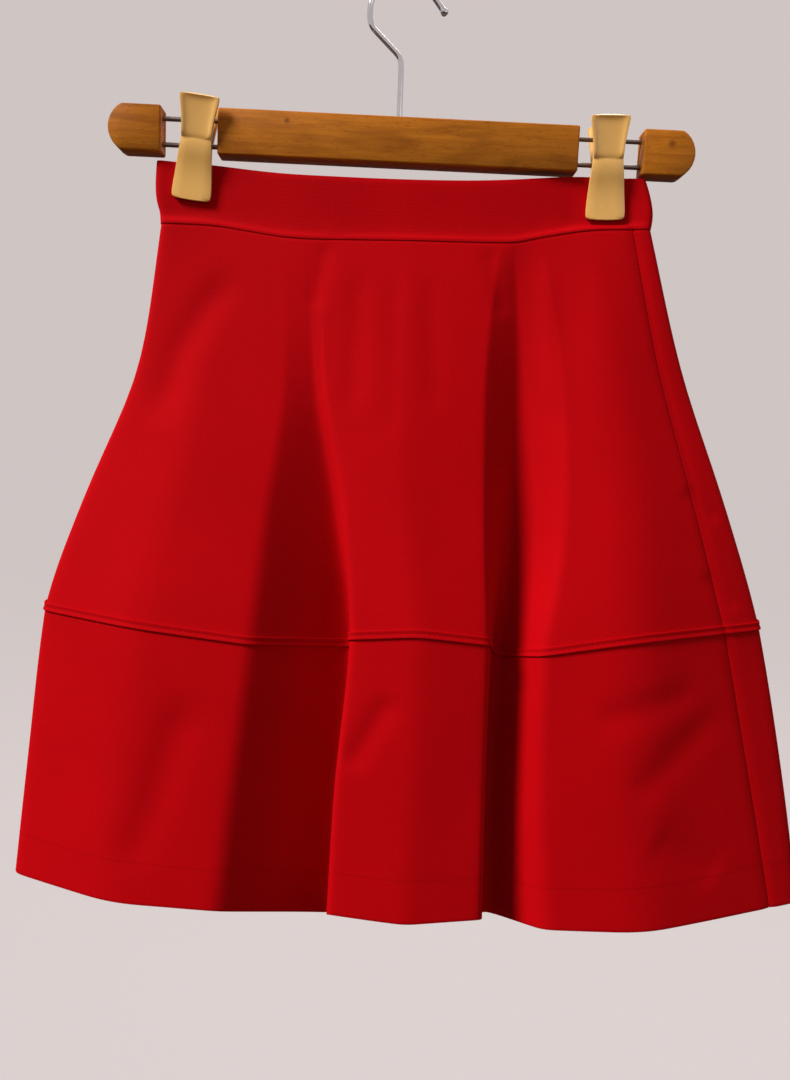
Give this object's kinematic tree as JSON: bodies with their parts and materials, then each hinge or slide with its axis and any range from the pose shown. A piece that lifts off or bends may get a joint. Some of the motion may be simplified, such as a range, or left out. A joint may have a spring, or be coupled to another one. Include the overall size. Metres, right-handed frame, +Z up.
{
  "type": "circle skirt on a wooden clip hanger",
  "caption": "Short flared skirt in red cloth with a plain waistband and a deep hem band, hanging by clips from a wooden clip hanger with a chrome wire hook",
  "frame": {"origin": "the inside of the hook's top, where the hook bears on the rail or peg that it hangs from", "axes": "+Z is up, -Y is the skirt's front, +X is to the viewer's right when the front is seen"},
  "size_m": [0.5415, 0.1012, 0.6179],
  "materials": {
    "skirt_cloth": "matte woven",
    "zip_tape": "matte woven tape with fine teeth",
    "zip_metal": "satin enamel",
    "hanger_wood": "satin varnish",
    "rod_steel": "drawn",
    "hook_chrome": "polished",
    "clip_plastic": "moulded gloss"
  },
  "bodies": {
    "root": {"waistband": "skirt_cloth", "front_panel": "skirt_cloth", "back_panel": "skirt_cloth", "front_hem_band": "skirt_cloth", "back_hem_band": "skirt_cloth", "front_seam_ridge": "skirt_cloth", "back_seam_ridge": "skirt_cloth", "side_zip": "zip_tape", "zip_slider": "zip_metal", "hanger_bar": "hanger_wood", "hanger_end_left": "hanger_wood", "hanger_end_right": "hanger_wood", "rod_left_upper": "rod_steel", "rod_left_lower": "rod_steel", "rod_right_upper": "rod_steel", "rod_right_lower": "rod_steel", "hook": "hook_chrome", "clip_left_front": "clip_plastic", "clip_left_rear": "clip_plastic", "clip_left_core": "clip_plastic", "clip_right_front": "clip_plastic", "clip_right_rear": "clip_plastic", "clip_right_core": "clip_plastic"}
  },
  "joints": []
}
